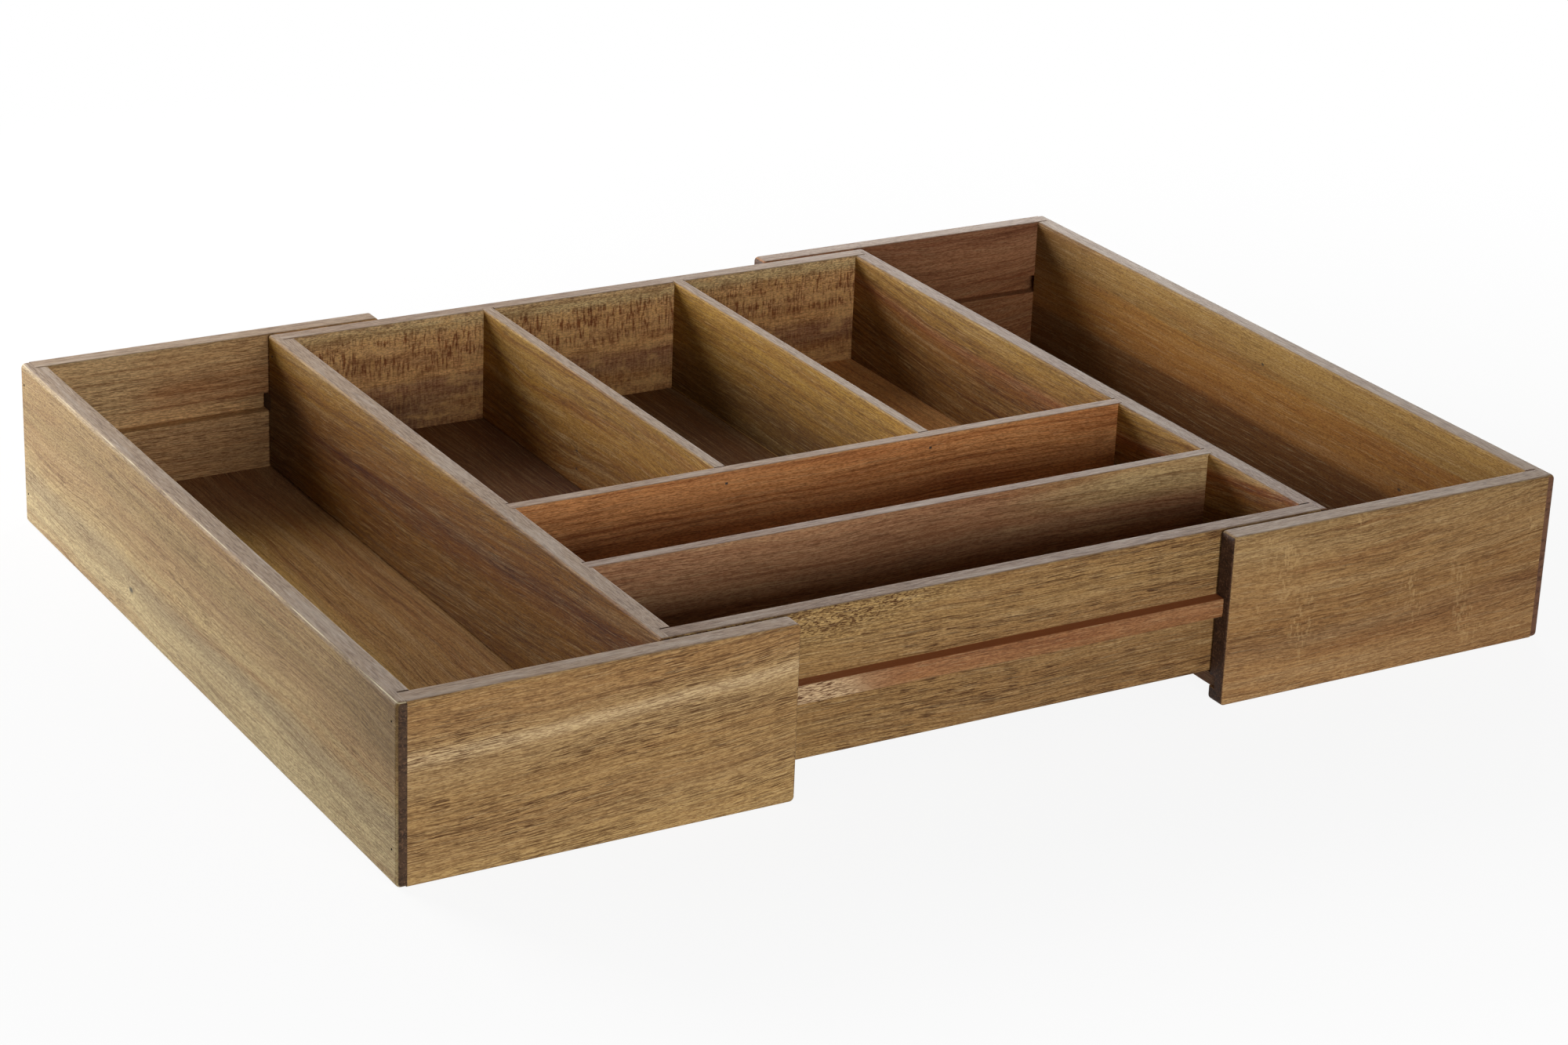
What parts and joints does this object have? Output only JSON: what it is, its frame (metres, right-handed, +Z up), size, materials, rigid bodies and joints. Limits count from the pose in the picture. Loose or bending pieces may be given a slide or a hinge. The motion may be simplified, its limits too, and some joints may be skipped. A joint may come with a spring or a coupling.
{
  "type": "cutlery tray",
  "caption": "Extending wooden cutlery tray: a divided middle box on rails between two side trays that slide in and out sideways.",
  "frame": {"origin": "centre of the footprint on the drawer bottom, with both side trays pulled out", "axes": "+X to the right along the slides, +Y from the front to the back, +Z up"},
  "size_m": [0.503, 0.368, 0.07],
  "materials": {
    "acacia_golden": "oiled acacia, golden brown with dark pores",
    "acacia_pale": "oiled acacia, pale tan sapwood",
    "acacia_olive": "oiled acacia, olive brown, straight grain",
    "acacia_figured": "oiled acacia with cross ripple figure",
    "acacia_red": "oiled acacia, reddish heartwood",
    "acacia_dark": "oiled acacia, dark heartwood",
    "brad_steel": "plain wire brads, dulled"
  },
  "bodies": {
    "core": {"core_front_wall": "acacia_golden", "core_back_wall": "acacia_figured", "core_left_wall": "acacia_golden", "core_right_wall": "acacia_golden", "core_floor": "acacia_dark", "front_rail": "acacia_red", "back_rail": "acacia_red", "front_cross_divider": "acacia_dark", "rear_cross_divider": "acacia_red", "rear_divider_left": "acacia_olive", "rear_divider_right": "acacia_olive", "divider_brads": "brad_steel", "core_corner_brads": "brad_steel"},
    "left_tray": {"left_outer_wall": "acacia_pale", "left_front_wall": "acacia_golden", "left_back_wall": "acacia_golden", "left_floor": "acacia_dark", "left_corner_brads": "brad_steel"},
    "right_tray": {"right_outer_wall": "acacia_olive", "right_front_wall": "acacia_golden", "right_back_wall": "acacia_golden", "right_floor": "acacia_dark", "right_corner_brads": "brad_steel"}
  },
  "joints": [
    {"name": "left_slide", "type": "slide", "parent": "core", "child": "left_tray", "axis": [1, 0, 0], "range_m": [0, 0.094]},
    {"name": "right_slide", "type": "slide", "parent": "core", "child": "right_tray", "axis": [-1, 0, 0], "range_m": [0, 0.094]}
  ]
}
